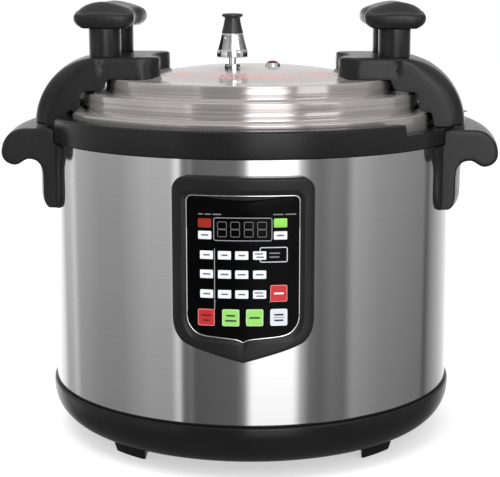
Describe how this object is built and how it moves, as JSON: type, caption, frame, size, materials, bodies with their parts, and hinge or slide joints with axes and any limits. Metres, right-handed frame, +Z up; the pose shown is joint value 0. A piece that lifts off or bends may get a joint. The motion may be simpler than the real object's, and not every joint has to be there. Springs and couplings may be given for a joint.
{
  "type": "electric pressure cooker",
  "caption": "Large drum-shaped electric pressure cooker with a twist-lock domed lid, black handles, weighted vent valve and a front keypad panel.",
  "frame": {"origin": "centre of the base at the bottom of the feet", "axes": "+Z up, control panel towards -Y, carry handles along X"},
  "size_m": [0.477, 0.407, 0.417],
  "materials": {
    "shell_steel": "brushed, satin",
    "base_black": "fine moulded texture",
    "ring_black": "fine moulded texture",
    "handle_black": "phenolic, satin",
    "foot_rubber": "matte",
    "zinc_steel": "zinc plated",
    "sheet_steel": "galvanised",
    "pot_steel": "satin",
    "pot_aluminium": "satin anodised",
    "cast_aluminium": "as cast",
    "lid_aluminium": "spun, satin",
    "seal_silicone": "silicone",
    "insulation_wool": "glass wool",
    "board_green": "solder mask",
    "part_dark": "satin",
    "bezel_black": "satin gloss",
    "overlay_black": "gloss",
    "trim_silver": "metallic line",
    "display_dark": "smoked",
    "digit_grey": "unlit segments",
    "window_white": "printed",
    "lamp_red": "translucent",
    "lamp_green": "translucent",
    "key_red": "satin",
    "key_green": "satin",
    "key_grey": "satin",
    "valve_chrome": "polished",
    "valve_black": "satin",
    "float_red": "satin"
  },
  "bodies": {
    "cooker": {"outer_shell": "shell_steel", "base_ring": "base_black", "base_plate": "sheet_steel", "feet": "foot_rubber", "foot_screws": "zinc_steel", "top_ring": "ring_black", "ring_screws": "zinc_steel", "outer_pot": "pot_steel", "inner_pot": "pot_aluminium", "heating_plate": "cast_aluminium", "sensor_spring": "zinc_steel", "insulation": "insulation_wool", "pressure_switch": "part_dark", "power_board": "board_green", "power_parts": "part_dark", "control_board": "board_green", "cord_gland": "base_black", "gland_nut": "base_black", "handle_saddle_left": "handle_black", "handle_saddle_right": "handle_black", "side_handle_left": "handle_black", "side_handle_right": "handle_black", "handle_screws": "zinc_steel", "panel_bezel": "bezel_black", "panel_overlay": "overlay_black", "panel_trim": "trim_silver", "display_window": "display_dark", "display_digits": "digit_grey", "program_windows": "window_white", "lamp_red": "lamp_red", "lamp_green": "lamp_green"},
    "lid_seal": {"sealing_gasket": "seal_silicone"},
    "lid": {"lid_shell": "lid_aluminium", "lid_arm_left": "handle_black", "lid_arm_right": "handle_black", "lid_post_left": "handle_black", "lid_post_right": "handle_black", "lid_grip_left": "handle_black", "lid_grip_right": "handle_black", "arm_screws": "zinc_steel", "grip_screws": "zinc_steel", "vent_pipe": "valve_chrome", "vent_nut": "zinc_steel", "filter_cap": "pot_steel", "float_seat": "valve_chrome", "wire_staple": "zinc_steel"},
    "weight_valve": {"weight_body": "valve_chrome", "weight_cap": "valve_black"},
    "float_valve": {"float_pin": "float_red", "float_clip": "zinc_steel"},
    "sensor": {"temperature_sensor": "valve_chrome"},
    "key_function_pad": {"key_function": "key_red"},
    "key_mode_pad": {"key_mode": "key_red"},
    "key_hold_pad": {"key_hold": "key_green"},
    "key_preset_pad": {"key_preset": "key_green"},
    "key_cancel_pad": {"key_cancel": "key_grey"}
  },
  "joints": [
    {"name": "lid_lift", "type": "slide", "parent": "cooker", "child": "lid_seal", "axis": [0, 0, 1], "range_m": [0, 0.2]},
    {"name": "lid_turn", "type": "hinge", "parent": "lid_seal", "child": "lid", "pos_m": [0, 0, 0.3], "axis": [0, 0, 1], "range_deg": [-18, 0]},
    {"name": "weight_lift", "type": "slide", "parent": "lid", "child": "weight_valve", "axis": [0, 0, 1], "range_m": [0, 0.02]},
    {"name": "float_rise", "type": "slide", "parent": "lid", "child": "float_valve", "axis": [0, 0, 1], "range_m": [0, 0.004]},
    {"name": "sensor_press", "type": "slide", "parent": "cooker", "child": "sensor", "axis": [0, 0, 1], "range_m": [-0.003, 0], "stiffness_N_per_m": 400, "springref_m": 0.003, "deforming": ["sensor_spring"]},
    {"name": "key_function_press", "type": "slide", "parent": "cooker", "child": "key_function_pad", "axis": [-0.153, 0.9882, 0], "range_m": [0, 0.0005], "stiffness_N_per_m": 1500},
    {"name": "key_mode_press", "type": "slide", "parent": "cooker", "child": "key_mode_pad", "axis": [0.157, 0.9876, 0], "range_m": [0, 0.0005], "stiffness_N_per_m": 1500},
    {"name": "key_hold_press", "type": "slide", "parent": "cooker", "child": "key_hold_pad", "axis": [0.0517, 0.9987, 0], "range_m": [0, 0.0005], "stiffness_N_per_m": 1500},
    {"name": "key_preset_press", "type": "slide", "parent": "cooker", "child": "key_preset_pad", "axis": [-0.0507, 0.9987, 0], "range_m": [0, 0.0005], "stiffness_N_per_m": 1500},
    {"name": "key_cancel_press", "type": "slide", "parent": "cooker", "child": "key_cancel_pad", "axis": [-0.1535, 0.9881, 0], "range_m": [0, 0.0005], "stiffness_N_per_m": 1500}
  ]
}
